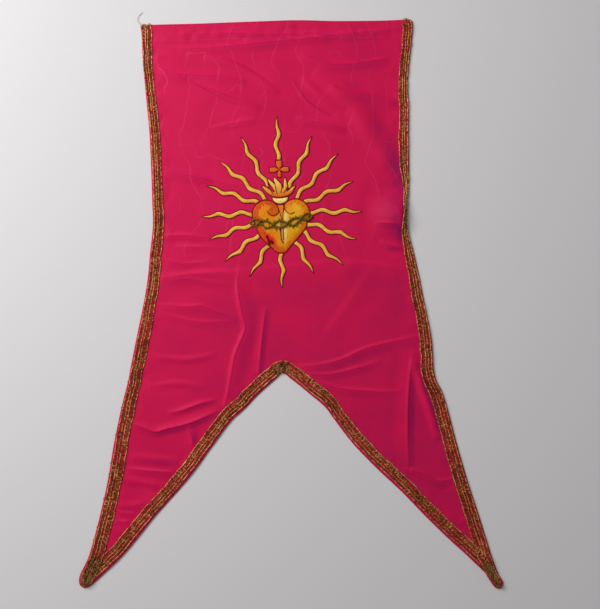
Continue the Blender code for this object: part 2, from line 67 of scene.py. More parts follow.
# The rolled stretch of the right edge
BULGE_LOW, BULGE_HIGH = 78.0, 162.0
BULGE_HEIGHT, BULGE_CREST, BULGE_REACH = 10.5, 10.0, 60.0

# Braid: its width and the strip of silk left outside it, by height on the banner
LEFT_WIDTHS = (
    (-383, 18.0), (-150, 17.0), (0, 15.0), (43, 14.0), (90, 13.0), (230, 12.8), (265, 12.0), (300, 11.6), (345, 13.4)
)
RIGHT_WIDTHS = (
    (-383, 17.5), (-150, 17.0), (0, 14.5), (50, 12.6), (80, 11.0), (100, 9.0), (111, 6.8), (123, 5.0), (148, 5.4),
    (168, 8.8), (190, 11.6), (220, 12.8), (290, 12.2), (345, 12.0), (390, 13.4)
)
NOTCH_WIDTHS = ((-383, 16.5), (-92, 15.5))
LEFT_MARGINS = ((-383, 1.6), (270, 1.8), (300, 0.5))
RIGHT_MARGINS = ((-383, 1.2), (0, 0.6))
NOTCH_MARGINS = ((-383, 2.8), (-92, 2.2))

# The gilt cords of the braid: their place across its width, from its outer edge inward, and their radius
SIDE_CORDS = ((0.06, 0.68), (0.35, 0.5), (0.57, 0.55), (0.95, 0.6))
NOTCH_CORDS = ((0.07, 0.62), (0.33, 0.48), (0.58, 0.42), (0.95, 0.6))
WAVER = 0.45

# The emblem
EMBLEM = np.array([-13.67, 119.72])
EMBLEM_LEAN = math.radians(2.3)
FLAT_HALF_WIDTH, FLAT_HALF_HEIGHT, FLAT_FADE = 112.0, 122.0, 0.2
OUTLINE_CORD = 0.68

LIGHT_LEVEL = 0.97
INK = {
    "gold": (208, 146, 48),
    "gold_light": (232, 184, 88),
    "cord": (124, 14, 22),
    "rust": (190, 68, 18),
    "orange": (205, 99, 8),
    "amber": (209, 126, 12),
    "lemon": (215, 158, 32),
    "straw": (226, 200, 108),
    "cream": (238, 216, 140),
    "wound": (92, 2, 8),
    "blush": (200, 38, 28),
    "thorn": (118, 97, 22),
    "thorn_dark": (72, 54, 9),
    "stem": (190, 120, 84),
    "cross": (212, 92, 36),
    "metal": (186, 124, 66),
    "metal_highlight": (224, 170, 106),
    "metal_dark": (92, 50, 20),
    "tangle": (176, 130, 66),
    "tangle_dark": (60, 32, 16),
    "weave": (150, 34, 42),
    "weave_dark": (96, 30, 22),
    "silk_thread": (200, 28, 76),
    "hem_thread": (216, 58, 104),
}

# The silk's linear colours where it turns from the light, lies flat and faces the light, and its watered lines
SILK_SHADED, SILK_PLAIN, SILK_LIT = (0.27, 0.005, 0.080, 1), (0.525, 0.004, 0.060, 1), (0.66, 0.008, 0.090, 1)
SILK_PALE, WATERED_PALE = (0.80, 0.055, 0.19, 1), 0.28

# Places where the silk is painted purple-dark as shade, where the cloth turns from the light: across, up, their reach
# along each, and how strongly
PAINTED_PURPLE_SHADE = (
    (150, 167, 7, 13, 0.42), (142, 186, 9, 13, 0.32), (132, 206, 9, 15, 0.26), (117, 236, 9, 13, 0.2),
    (146, 95, 9, 11, 0.5), (137, 74, 12, 3, 0.3)
)

# The folds: height, width on the left and right of the way the crest is listed, how sharp it is, and its points
Fold = namedtuple("Fold", "height left right sharp crest")
FOLDS = (
    Fold(0.9, 3, 7, 0.7, ((-165, 363), (-88, 365), (-20, 364), (60, 366))),
    Fold(1.8, 3, 13, 0.8, ((-152, 345), (-101, 346), (-52, 351), (-11, 355), (15, 357), (73, 364), (146, 371))),
    Fold(1.6, 4, 16, 0.7, ((-187, 316), (-151, 310), (-97, 307), (-60, 300))),
    Fold(-1.5, 5, 6, 0.6, ((-153, 309), (-120, 292), (-90, 276), (-60, 264))),
    Fold(1.6, 10, 5, 0.4, ((-138, 300), (-100, 289), (-62, 273), (-44, 262))),
    Fold(1.3, 4, 12, 0.5, ((-118, 333), (-88, 327), (-62, 316), (-38, 300), (-16, 284))),
    Fold(1.8, 3, 14, 0.7, ((12, 336), (36, 327), (62, 323), (93, 325), (130, 331))),
    Fold(-1.6, 6, 7, 0.6, ((2, 304), (13, 287), (21, 276), (33, 266), (60, 252))),
    Fold(1.8, 11, 6, 0.4, ((14, 306), (28, 290), (48, 275), (72, 262))),
    Fold(2.0, 3, 14, 0.7, ((52, 294), (70, 285), (101, 282), (123, 276), (144, 270))),
    Fold(2.6, 30, 20, 0.1, ((28, 310), (60, 288), (86, 264), (105, 231), (123, 208), (136, 184))),
    Fold(1.7, 3, 12, 0.6, ((7, 251), (41, 244), (75, 235))),
    Fold(0.8, 3, 9, 0.5, ((-108, 237), (-73, 244), (-46, 249))),
    Fold(2.1, 3, 15, 0.75, ((-178, 184), (-140, 174), (-104, 166), (-66, 158))),
    Fold(1.3, 3, 9, 0.6, ((-176, 91), (-143, 92), (-110, 88))),
    Fold(0.8, 3, 8, 0.6, ((-160, 76), (-107, 76), (-69, 71))),
    Fold(0.7, 3, 9, 0.6, ((-176, 60), (-142, 54), (-108, 57))),
    Fold(0.8, 3, 9, 0.6, ((-176, 34), (-142, 39), (-110, 42), (-74, 41))),
    Fold(0.5, 3, 8, 0.6, ((-168, 30), (-135, 33), (-84, 24))),
    Fold(0.7, 3, 10, 0.6, ((-178, -12), (-130, -24), (-74, -24))),
    Fold(2.2, 24, 6, 0.5, (
        (-65, 72), (-71, 34), (-70, 11), (-65, -14), (-61, -32), (-67, -49), (-75, -69), (-80, -94), (-84, -118), (-90, -142)
    )),
    Fold(1.4, 6, 13, 0.6, ((-33, -3), (-36, -27), (-39, -54), (-42, -88), (-45, -106))),
    Fold(2.2, 12, 8, 0.6, ((-216, -161), (-198, -168), (-182, -173), (-168, -169), (-136, -161), (-96, -144))),
    Fold(1.8, 9, 5, 0.5, ((-140, -166), (-134, -177), (-131, -190))),
    Fold(1.4, 9, 5, 0.5, ((-166, -147), (-150, -145), (-122, -135), (-100, -130))),
    Fold(1.5, 4, 13, 0.6, ((-222, -222), (-198, -225), (-157, -228))),
    Fold(1.3, 9, 10, 0.2, ((-218, -205), (-190, -208), (-150, -212))),
    Fold(1.3, 9, 10, 0.2, ((-228, -236), (-200, -240), (-170, -246))),
    Fold(1.2, 9, 10, 0.2, ((-238, -270), (-215, -272), (-194, -268))),
    Fold(0.9, 3, 7, 0.6, ((-233, -281), (-210, -284))),
    Fold(0.9, 3, 7, 0.6, ((-238, -293), (-218, -295))),
    Fold(1.5, 4, 14, 0.65, ((8, -86), (40, -82), (68, -75), (99, -61), (129, -53), (172, -44))),
    Fold(1.1, 4, 9, 0.65, ((16, -95), (53, -95), (92, -86), (122, -77))),
    Fold(1.5, 4, 12, 0.7, ((22, -100), (66, -114), (115, -118), (149, -119))),
    Fold(2.0, 9, 22, 0.6, ((166, -62), (160, -108), (158, -172), (160, -222))),
    Fold(3.2, 10, 9, 0.25, ((164, -74), (178, -117), (190, -152), (200, -182))),
    Fold(1.6, 3, 12, 0.6, ((148, -224), (161, -224), (178, -229), (198, -239), (220, -236))),
    Fold(0.9, 3, 8, 0.5, ((228, -290), (246, -297))),
    Fold(0.6, 24, 10, 0.2, ((112, 50), (73, -6), (36, -58))),
    Fold(1.6, 6, 26, 0.2, ((-180, 38), (-127, 42), (-73, 44), (12, 52), (74, 57), (164, 47))),
    Fold(1.0, 4, 12, 0.6, ((-184, -1), (-142, -4), (-120, -3), (-100, -11), (-72, -18))),
    Fold(1.4, 5, 6, 0.6, ((120, 84), (136, 78), (152, 73))),
    Fold(1.0, 4, 7, 0.6, ((112, 109), (130, 108), (150, 106))),
    Fold(1.0, 5, 9, 0.3, ((-186, -70), (-140, -74), (-100, -66))),
    Fold(0.9, 5, 9, 0.3, ((-192, -110), (-150, -106), (-118, -112))),
)


def linear(name):
    """A colour of the INK table as the shader's linear numbers, without the scene's light level."""
    return [min(0.95, (c / 255) ** 2.2 / LIGHT_LEVEL) for c in INK[name]]


# Curves in the plane


def lengths(path):
    return np.concatenate([[0], np.cumsum(np.linalg.norm(np.diff(path, axis=0), axis=1))])


def smooth(points, step, closed=False):
    """A Catmull-Rom curve through the points, cut into equal steps; a closed one leaves out its last point."""
    given = np.array(points, float)
    if closed:
        given = np.vstack([given, given[:1]])
        ends = np.vstack([given[-2], given, given[1]])
    else:
        ends = np.vstack([2 * given[0] - given[1], given, 2 * given[-1] - given[-2]])
    t = np.linspace(0, 1, 10, endpoint=False)[:, None]
    spans = [
        b + 0.5 * ((c - a) * t + (2 * a - 5 * b + 4 * c - d) * t**2 + (3 * b - a - 3 * c + d) * t**3)
        for a, b, c, d in zip(ends, ends[1:], ends[2:], ends[3:])
    ]
    fine = np.vstack([*spans, given[-1:]])
    along = lengths(fine)
    stops = np.linspace(0, along[-1], max(4, round(along[-1] / step) + 1))
    even = np.column_stack([np.interp(stops, along, fine[:, axis]) for axis in (0, 1)])
    return even[:-1] if closed else even


def left_normals(path, closed=False):
    """Unit vectors that point to the left of the way the path runs."""
    run = np.roll(path, -1, axis=0) - np.roll(path, 1, axis=0) if closed else np.gradient(path, axis=0)
    turned = np.column_stack([-run[:, 1], run[:, 0]])
    return turned / np.linalg.norm(turned, axis=1, keepdims=True)


def inside(points, polygon):
    """Which of the points lie in the polygon, by the even-odd rule."""
    found = np.zeros(len(points), bool)
    for a, b in zip(polygon, np.roll(polygon, -1, axis=0)):
        if a[1] != b[1]:
            between = (points[:, 1] < a[1]) != (points[:, 1] < b[1])
            x = a[0] + (points[:, 1] - a[1]) / (b[1] - a[1]) * (b[0] - a[0])
            found ^= between & (points[:, 0] < x)
    return found


def nearest_on(points, path):
    """Each point's distance from a polyline, signed plus on its left, and the share of the way along it."""
    starts, runs = path[:-1], np.diff(path, axis=0)
    span = np.linalg.norm(runs, axis=1)
    away = points[:, None, :] - starts[None]
    share = np.clip((away * runs).sum(2) / span**2, 0, 1)
    gaps = np.linalg.norm(away - share[..., None] * runs, axis=2)
    nearest = gaps.argmin(1)
    rows = np.arange(len(points))
    side = runs[nearest, 0] * away[rows, nearest, 1] - runs[nearest, 1] * away[rows, nearest, 0]
    along = (lengths(path)[nearest] + share[rows, nearest] * span[nearest]) / span.sum()
    return gaps[rows, nearest] * np.where(side < 0, -1, 1), along


def rim(node):
    """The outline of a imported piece, anticlockwise, read from the upright walls of its solid."""
    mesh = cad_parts[node].data
    keys = [tuple(round(c / MM, 2) for c in v.co[:2]) for v in mesh.vertices]
    beside = {}
    for face in mesh.polygons:
        ends = list(dict.fromkeys(keys[i] for i in face.vertices))
        if abs(face.normal.z) < 1e-3 and len(ends) == 2:
            beside.setdefault(ends[0], set()).add(ends[1])
            beside.setdefault(ends[1], set()).add(ends[0])
    walked = [next(iter(beside))]
    here = min(beside[walked[0]])
    while here != walked[0]:
        walked.append(here)
        here = next(p for p in sorted(beside[here]) if p != walked[-2])
    path = np.array(walked)
    x, y = path[:, 0], path[:, 1]
    area = (x * np.roll(y, -1) - y * np.roll(x, -1)).sum()
    return path if area > 0 else path[::-1]


def noise(points, cell, seed):
    """Smooth noise from -1 to 1 over the plane, with features about a cell across."""
    table = np.random.default_rng(seed).uniform(-1, 1, (128, 128))
    scaled = np.asarray(points, float) / cell
    corner = np.floor(scaled).astype(int)
    part = scaled - corner
    part = part * part * (3 - 2 * part)
    x0, y0 = corner[:, 0] % 128, corner[:, 1] % 128
    x1, y1 = (x0 + 1) % 128, (y0 + 1) % 128
    low = table[x0, y0] * (1 - part[:, 0]) + table[x1, y0] * part[:, 0]
    high = table[x0, y1] * (1 - part[:, 0]) + table[x1, y1] * part[:, 0]
    return low * (1 - part[:, 1]) + high * part[:, 1]


# The banner's outline, from the top left corner down and round

silk_rim = rim("silk_panel")
silk_rim = np.roll(silk_rim, -np.argmin(silk_rim[:, 0] - silk_rim[:, 1]), axis=0)
left_tip = np.argmin(silk_rim.sum(1))
right_tip = np.argmin(silk_rim[:, 1] - silk_rim[:, 0])
top_right = np.argmax(silk_rim.sum(1))
apex = left_tip + np.argmax(silk_rim[left_tip:right_tip, 1])
RIGHT_SIDE = silk_rim[right_tip : top_right + 1]
TOP_EDGE = np.vstack([silk_rim[top_right:], silk_rim[:1]])


# Heights of the cloth


def emblem_calm(points):
    """How much of the folds comes through: little on the stiff embroidery, all of them outside it."""
    across = (points - EMBLEM) / (FLAT_HALF_WIDTH, FLAT_HALF_HEIGHT)
    return np.clip((np.hypot(across[:, 0], across[:, 1]) - 0.8) / FLAT_FADE, 0.3, 1)


def bulge(points):
    """The raised cloth beside the rolled stretch of the right edge."""
    edge = np.interp(points[:, 1], RIGHT_SIDE[:, 1], RIGHT_SIDE[:, 0])
    in_from_edge = np.clip(edge - points[:, 0], 0, BULGE_REACH)
    outer = np.sin(math.pi / 2 * np.minimum(in_from_edge / BULGE_CREST, 1))
    inner = (in_from_edge - BULGE_CREST) / (BULGE_REACH - BULGE_CREST)
    fall = (1 + np.cos(math.pi * np.clip(inner, 0, 1))) / 2
    return BULGE_HEIGHT * outer * fall * bulge_window(points[:, 1])


def bulge_window(up):
    share = np.clip((up - BULGE_LOW) / (BULGE_HIGH - BULGE_LOW), 0, 1)
    return np.sin(math.pi * share) ** 2


def fold_height(fold, points):
    """One fold's height: a ridge, or a furrow where it is negative, that dies out at both ends."""
    crest = smooth(fold.crest, 5.0)
    left, right = max(fold.left, 4.5), max(fold.right, 4.5)
    reach = max(left, right)
    near = (points > crest.min(0) - reach).all(1) & (points < crest.max(0) + reach).all(1)
    away, along = nearest_on(points[near], crest)
    across = np.clip(np.abs(away) / np.where(away > 0, left, right), 0, 1)
    soft, sharp = (1 + np.cos(math.pi * across)) / 2, (1 - across) ** 1.7
    ends = np.clip(np.sin(math.pi * along), 0, 1) ** 0.6
    height = np.zeros(len(points))
    height[near] = fold.height * ends * ((1 - fold.sharp) * soft + fold.sharp * sharp)
    return height


def creases(points):
    """How far in mm each point lies from a crisp crease, plus on the side of the light, and how deep that is."""
    nearest, depth = np.full(len(points), 9.0), np.zeros(len(points))
    for fold in FOLDS:
        crest = smooth(fold.crest, 4.0)
        near = np.flatnonzero((points > crest.min(0) - 6).all(1) & (points < crest.max(0) + 6).all(1))
        if fold.sharp < CRISP or not len(near):
            continue
        away, along = nearest_on(points[near], crest)
        run = crest[-1] - crest[0]
        away *= np.sign(run[0] * LIGHT_FROM[1] - run[1] * LIGHT_FROM[0])
        ends = np.clip(np.sin(math.pi * along), 0, 1) ** 0.6
        own = abs(fold.height) * ends * np.clip((4.4 - np.abs(away)) / 2, 0, 1)
        closer = np.abs(away) < np.abs(nearest[near])
        nearest[near[closer]] = away[closer]
        depth[near[closer]] = own[closer]
    return nearest, depth * emblem_calm(points)


def relief(points):
    """How far the underside of the cloth rises from the table."""
    folds = sum(fold_height(fold, points) for fold in FOLDS)
    swell = 0.55 * noise(points, 62.0, 3) + 0.3 * noise(points, (26.0, 44.0), 5)
    edge = np.abs(nearest_on(points, np.vstack([silk_rim[::2], silk_rim[:1]]))[0])
    pucker = 0.45 * noise(points, 9.0, 8) * np.clip(1 - np.abs(edge - 16) / 16, 0, 1)
    cloth = folds + swell + pucker
    return np.maximum(cloth * emblem_calm(points) + BASE_RISE, 0) + bulge(points)


def relief_table():
    """The relief worked out once on a square grid, with the grid's first corner."""
    low, high = silk_rim.min(0) - 12, silk_rim.max(0) + 12
    x = np.arange(low[0], high[0], RELIEF_STEP)
    y = np.arange(low[1], high[1], RELIEF_STEP)
    grid = np.stack(np.meshgrid(x, y, indexing="ij"), axis=-1).reshape(-1, 2)
    rows = [relief(part) for part in np.array_split(grid, 40)]
    return low, np.concatenate(rows).reshape(len(x), len(y))


RELIEF_CORNER, RELIEF = relief_table()


def lift(points):
    place = (np.asarray(points) - RELIEF_CORNER) / RELIEF_STEP
    place = np.clip(place, 0, np.array(RELIEF.shape) - 1.001)
    cell = place.astype(int)
    part = place - cell
    x, y = cell[:, 0], cell[:, 1]
    low = RELIEF[x, y] * (1 - part[:, 0]) + RELIEF[x + 1, y] * part[:, 0]
    high = RELIEF[x, y + 1] * (1 - part[:, 0]) + RELIEF[x + 1, y + 1] * part[:, 0]
    return low * (1 - part[:, 1]) + high * part[:, 1]


def below_edge(points):
    """How far each point lies below the top edge."""
    return np.interp(points[:, 0], TOP_EDGE[::-1, 0], TOP_EDGE[::-1, 1]) - points[:, 1]


def silk_top(points):
    hem = np.clip((HEM_DEPTH - below_edge(points)) / HEM_STEP, 0, 1)
    return lift(points) + SILK_THICK + HEM_EXTRA * hem


# Meshes


class Pile:
    """Vertices, faces, thread colours and thread directions, gathered until they become one mesh."""

    def __init__(self):
        self.points, self.faces, self.dyes, self.grains, self.count = [], [], [], [], 0

    def add(self, points, faces, dye, grain):
        """dye is one colour or one a vertex; grain is the place along and across the thread, in mm."""
        self.points.append(points)
        self.faces.append(np.asarray(faces) + self.count)
        self.dyes.append(np.broadcast_to(np.array(dye)[..., :3], (len(points), 3)))
        self.grains.append(grain)
        self.count += len(points)

    def piece(self, name, finish, slot, replaced=()):
        """The finished piece, riding on the banner's one body."""
        mesh = bpy.data.meshes.new(name)
        faces = [face for part in self.faces for face in part.tolist()]
        mesh.from_pydata((np.vstack(self.points) * MM).tolist(), [], faces)
        mesh.shade_smooth()
        dye = mesh.color_attributes.new("dye", "FLOAT_COLOR", "POINT")
        dye.data.foreach_set("color", np.insert(np.vstack(self.dyes), 3, 1, axis=1).ravel())
        grain = mesh.attributes.new("grain", "FLOAT_VECTOR", "POINT")
        grain.data.foreach_set("vector", np.insert(np.vstack(self.grains), 2, 0, axis=1).ravel())
        mesh.materials.append(finish)
        made = bpy.data.objects.new(name, mesh)
        bpy.context.scene.collection.objects.link(made)
        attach(made, BODY)
        for node in replaced:
            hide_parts(node)
        return made


def blended(first, second, share):
    """A colour between two INK colours for each share from 0 to 1."""
    share = np.clip(share, 0, 1)[:, None]
    return np.array(linear(first)) * (1 - share) + np.array(linear(second)) * share


def over(dye, name, share):
    """Colours with another one laid over them, more of it where the share is nearer 1."""
    return dye + (np.array(linear(name)) - dye) * np.clip(share, 0, 1)[:, None]


def lattice(low, high, step):
    rows = np.arange(low[1], high[1], step * math.sqrt(3) / 2)
    return np.array([(x + (i % 2) * step / 2, y) for i, y in enumerate(rows) for x in np.arange(low[0], high[0], step)])


def filled(outline, step):
    """Triangles that fill an outline, as plane points, faces and each point's distance from the outline."""
    loop = np.vstack([outline, outline[:1]])
    grid = lattice(outline.min(0), outline.max(0), step)
    grid = grid[inside(grid, outline)]
    parts = np.array_split(grid, max(1, len(grid) * len(loop) // 2_000_000))
    gaps = np.concatenate([np.abs(nearest_on(part, loop)[0]) for part in parts])
    grid, gaps = grid[gaps > 0.6 * step], gaps[gaps > 0.6 * step]
    points = np.vstack([outline, grid])
    made = delaunay_2d_cdt([tuple(p) for p in points], [], [list(range(len(outline)))], 1, 1e-5)
    plane = np.array([tuple(p) for p in made[0]])
    depth = np.zeros(len(plane))
    depth[len(outline) : len(points)] = gaps
    faces = np.array(made[2])
    a, b, c = (plane[faces[:, i]] for i in range(3))
    turned = (b[:, 0] - a[:, 0]) * (c[:, 1] - a[:, 1]) < (c[:, 0] - a[:, 0]) * (b[:, 1] - a[:, 1])
    faces[turned] = faces[turned][:, ::-1]
    return plane, faces, depth


def tube(path, radius, sides=6, closed=False, lobes=0, pitch=1.0):
    """Points, faces and two shares for a round cord: how deep in its twist each point lies, and its grain.

    lobes strands wind round the cord once in every pitch.
    """
    ring = np.linspace(0, 2 * math.pi, sides, endpoint=False)
    run = np.roll(path, -1, axis=0) - np.roll(path, 1, axis=0) if closed else np.gradient(path, axis=0)
    run /= np.linalg.norm(run, axis=1, keepdims=True)
    across = np.cross([0, 0, 1], run)
    across /= np.maximum(np.linalg.norm(across, axis=1, keepdims=True), 1e-6)
    upward = np.cross(run, across)
    along = lengths(path)
    turn = lobes * (ring[None] - 2 * math.pi * along[:, None] / pitch) if lobes else np.zeros((len(path), sides))
    ridge = 0.5 + 0.5 * np.cos(turn)
    thick = np.broadcast_to(radius, (len(path),))[:, None] * (1 - (0.28 if lobes else 0) * (1 - ridge))
    points = (
        path[:, None]
        + (thick * np.cos(ring))[..., None] * across[:, None]
        + (thick * np.sin(ring))[..., None] * upward[:, None]
    )
    count = len(path)
    faces = [
        (i * sides + j, i * sides + (j + 1) % sides, (i + 1) % count * sides + (j + 1) % sides, (i + 1) % count * sides + j)
        for i in range(count if closed else count - 1)
        for j in range(sides)
    ]
    grain = np.stack([np.broadcast_to(along[:, None], thick.shape), ring[None] * thick], axis=-1)
    return points.reshape(-1, 3), faces, ridge.ravel(), grain.reshape(-1, 2)


def raised(plane, height):
    """Plane points put at a height over the silk."""
    return np.column_stack([plane, silk_top(plane) + height])


# Materials


def put(tree, kind, inputs=(), **settings):
    """A shader node with its settings and inputs; an input that is a socket is linked."""
    made = tree.nodes.new("ShaderNode" + kind)
    for name, value in settings.items():
        setattr(made, name, value)
    for key, value in dict(inputs).items():
        if isinstance(value, bpy.types.NodeSocket):
            tree.links.new(value, made.inputs[key])
        else:
            made.inputs[key].default_value = value
    return made


def calculate(tree, operation, first, second=0.0):
    return put(tree, "Math", {0: first, 1: second}, operation=operation).outputs[0]


def ranged(tree, value, low, high, to_low=0.0, to_high=1.0):
    sockets = {"Value": value, "From Min": low, "From Max": high, "To Min": to_low, "To Max": to_high}
    return put(tree, "MapRange", sockets).outputs[0]


def mixed(tree, share, first, second):
    node = put(tree, "Mix", {"Factor": share}, data_type="RGBA")
    for socket, value in ((node.inputs[6], first), (node.inputs[7], second)):
        if isinstance(value, bpy.types.NodeSocket):
            tree.links.new(value, socket)
        else:
            socket.default_value = value
    return node.outputs[2]


def stretched(tree, vector, scale):
    """A vector divided by a cell size along each axis."""
    inverse = [1 / s for s in scale]
    return put(tree, "VectorMath", {0: vector, 1: inverse}, operation="MULTIPLY").outputs[0]


def new_material(name, **shader_values):
    made = bpy.data.materials.new(name)
    made.use_nodes = True
    shader = made.node_tree.nodes["Principled BSDF"]
    for key, value in shader_values.items():
        shader.inputs[key.replace("_", " ")].default_value = value
    return made, made.node_tree, shader


def centred_noise(tree, place, cells, reach, detail=1.0):
    """Noise from about -reach to reach, with cells of the given size in metres."""
    value = put(tree, "TexNoise", {"Vector": stretched(tree, place, cells), "Scale": 1.0, "Detail": detail}).outputs[0]
    return ranged(tree, value, 0.2, 0.8, -reach, reach)


def watered_line(tree, along, apart, width):
    """Thin lines, one for every apart metres of the given coordinate, soft over the given width."""
    phase = calculate(tree, "FRACT", calculate(tree, "DIVIDE", along, apart))
    off = calculate(tree, "ABSOLUTE", calculate(tree, "SUBTRACT", phase, 0.5))
    return ranged(tree, off, 0.0, width / apart, 1, 0)


def silk_material():
    """Shot silk: pink painted deeper as shade where the cloth turns from the light and paler as a painted highlight
    where it faces it, pale watered lines and a fine weave.
    """
    made, tree, shader = new_material(
        "watered_silk", Roughness=0.55, Sheen_Weight=0.03, Sheen_Roughness=0.4,
        Sheen_Tint=(1.0, 0.30, 0.62, 1), Specular_IOR_Level=0.1,
    )
    place = put(tree, "TexCoord").outputs["Object"]
    # Painted light share: 0 takes the painted shade colour, 1 the painted highlight colour, worked out from the silk's
    # slope towards the light
    painted_light_share = put(tree, "Attribute", attribute_name="painted_light_share").outputs["Fac"]
    watered = put(tree, "Attribute", attribute_name="watered").outputs["Fac"]
    cloud = centred_noise(tree, place, (0.06, 0.045, 1), 0.13, 3.0)
    ramp = put(tree, "ValToRGB", {"Fac": calculate(tree, "ADD", painted_light_share, cloud)})
    stops = ramp.color_ramp.elements
    stops[0].color, stops[1].color = SILK_SHADED, SILK_LIT
    middle = stops.new(0.5)
    middle.color = SILK_PLAIN
    split = put(tree, "SeparateXYZ", {0: place})
    wander = calculate(tree, "ADD", centred_noise(tree, place, (0.120, 0.090, 1), 0.026), split.outputs[0])
    wander = calculate(tree, "ADD", wander, centred_noise(tree, place, (0.020, 0.022, 1), 0.0026, 1.0))
    upright = watered_line(tree, wander, 0.030, 0.0013)
    climb = calculate(tree, "ADD", centred_noise(tree, place, (0.040, 0.050, 1), 0.034), split.outputs[1])
    climb = calculate(tree, "ADD", climb, centred_noise(tree, place, (0.014, 0.014, 1), 0.0022, 1.0))
    level = watered_line(tree, climb, 0.044, 0.0014)
    upright = calculate(tree, "MULTIPLY", upright, ranged(tree, centred_noise(tree, place, (0.03, 0.05, 1), 1), -0.35, 0.5))
    level = calculate(tree, "MULTIPLY", level, ranged(tree, centred_noise(tree, place, (0.05, 0.03, 2), 1), 0.1, 0.6))
    lines = calculate(tree, "MULTIPLY", calculate(tree, "MAXIMUM", upright, level), watered)
    colour = mixed(tree, calculate(tree, "MULTIPLY", lines, WATERED_PALE), ramp.outputs[0], SILK_PALE)
    crease = put(tree, "Attribute", attribute_name="crease").outputs["Fac"]
    depth = put(tree, "Attribute", attribute_name="crease_depth").outputs["Fac"]
    # Painted shade: the silk's colour is drawn towards the shaded colour along crisp creases, more where the crease is
    # deeper
    painted_crease_shade = ranged(tree, calculate(tree, "ABSOLUTE", crease), 0.0, 1.3 * CREASE_WIDTH, 0.22, 0.0)
    colour = mixed(tree, calculate(tree, "MULTIPLY", painted_crease_shade, depth), colour, SILK_SHADED)
    tree.links.new(colour, shader.inputs["Base Color"])
    drop = ranged(tree, crease, -CREASE_WIDTH, CREASE_WIDTH, 0.0, CREASE_STEP)
    drop = calculate(tree, "MULTIPLY", drop, depth)
    edge = put(tree, "Bump", {"Height": drop, "Strength": 1.0, "Distance": MM})
    rib = put(tree, "TexNoise", {"Vector": stretched(tree, place, (0.006, 0.0007, 1)), "Scale": 1.0, "Detail": 2.0})
    bump = put(tree, "Bump", {"Height": rib.outputs[0], "Strength": 0.12, "Distance": 0.0004, "Normal": edge.outputs[0]})
    tree.links.new(bump.outputs[0], shader.inputs["Normal"])
    return made


def thread_material(name, ply, streak, **shader_values):
    """Laid thread in the piece's own dyes: ply is one thread's width in mm, streak how much its tone varies."""
    made, tree, shader = new_material(name, **shader_values)
    dye = put(tree, "Attribute", attribute_name="dye").outputs["Color"]
    grain = put(tree, "Attribute", attribute_name="grain").outputs["Vector"]
    strands = put(tree, "TexNoise", {"Vector": stretched(tree, grain, (ply * 9, ply, 1)), "Scale": 1.0, "Detail": 2.5})
    tone = ranged(tree, strands.outputs[0], 0.3, 0.7, 1 - streak, 1 + streak)
    shade = put(tree, "VectorMath", {0: dye, 1: (1, 1, 1)}, operation="MULTIPLY")
    scaled = put(tree, "VectorMath", {0: shade.outputs[0], "Scale": tone}, operation="SCALE")
    tree.links.new(scaled.outputs[0], shader.inputs["Base Color"])
    bump = put(tree, "Bump", {"Height": strands.outputs[0], "Strength": 0.5, "Distance": 0.0006})
    tree.links.new(bump.outputs[0], shader.inputs["Normal"])
    return made


SILK = silk_material()
STITCH = thread_material("satin_stitch", 0.7, 0.16, Roughness=0.55, Specular_IOR_Level=0.12)
GILT = thread_material("gilt_thread", 0.9, 0.3, Roughness=0.5, Metallic=0.2, Specular_IOR_Level=0.2)
WOVEN = thread_material("woven_ground", 1.2, 0.4, Roughness=0.75, Specular_IOR_Level=0.12)


# The silk


def build_silk():
    outline = smooth(silk_rim, SILK_STEP, closed=True)
    plane, faces, _ = filled(outline, SILK_STEP)
    count = len(plane)
    under = lift(plane) + 0.35 * np.clip((below_edge(plane) - HEM_DEPTH) / HEM_STEP, 0, 1)
    points = np.vstack([np.column_stack([plane, silk_top(plane)]), np.column_stack([plane, under])])
    walls = [(j, i, i + count, j + count) for i, j in zip(range(len(outline)), [*range(1, len(outline)), 0])]
    pile = Pile()
    pile.add(points, faces, linear("silk_thread"), points[:, :2])
    pile.faces.append(faces[:, ::-1] + count)
    pile.faces.append(np.array(walls))
    silk = pile.piece("silk_sheet", SILK, "silk", ["silk_panel"])
    # Painted shade and highlight: the silk is coloured lighter where its slope faces the light and darker where it
    # turns away, darker below the storage fold, towards the right and over the bulge, and purple-dark at the painted
    # purple places
    nudge = -2.0 * np.array(LIGHT_FROM)
    lower, upper = (lift(place) - bulge(place) for place in (plane - nudge, plane + nudge))
    slope = (upper - lower) / 4.0
    shaded_low = np.clip((STORAGE_FOLD_UP - plane[:, 1]) / 18, 0, 1)
    rightward = (plane[:, 0] - EMBLEM[0]) / 200
    painted_light_share = 0.55 - 0.02 * bulge(plane) + 1.0 * np.clip(slope, -0.4, 0.14) - 0.10 * shaded_low - 0.06 * rightward
    # Painted shade: purple-dark patches where the cloth turns from the light
    for across, up, wide, tall, strength in PAINTED_PURPLE_SHADE:
        painted_light_share -= strength * np.exp(-(((plane[:, 0] - across) / wide) ** 2) - ((plane[:, 1] - up) / tall) ** 2)
    painted_light_share = np.clip(painted_light_share, 0, 1)
    watered = np.clip((plane[:, 1] - WATERED_ABOVE) / WATERED_FADE + 0.25, 0.12, 1) * (1 - 0.3 * rightward)
    crease, crease_depth = creases(plane)
    values_by_name = (("painted_light_share", painted_light_share), ("watered", watered), ("crease", crease), ("crease_depth", crease_depth))
    for name, values in values_by_name:
        attribute = silk.data.attributes.new(name, "FLOAT", "POINT")
        attribute.data.foreach_set("value", np.tile(values, 2))
    area = 0.5 * abs((outline[:, 0] * np.roll(outline[:, 1], -1) - outline[:, 1] * np.roll(outline[:, 0], -1)).sum())
    return silk, area


# The braid


def from_table(rows, up):
    ups, values = zip(*rows)
    return np.interp(up, ups, values)


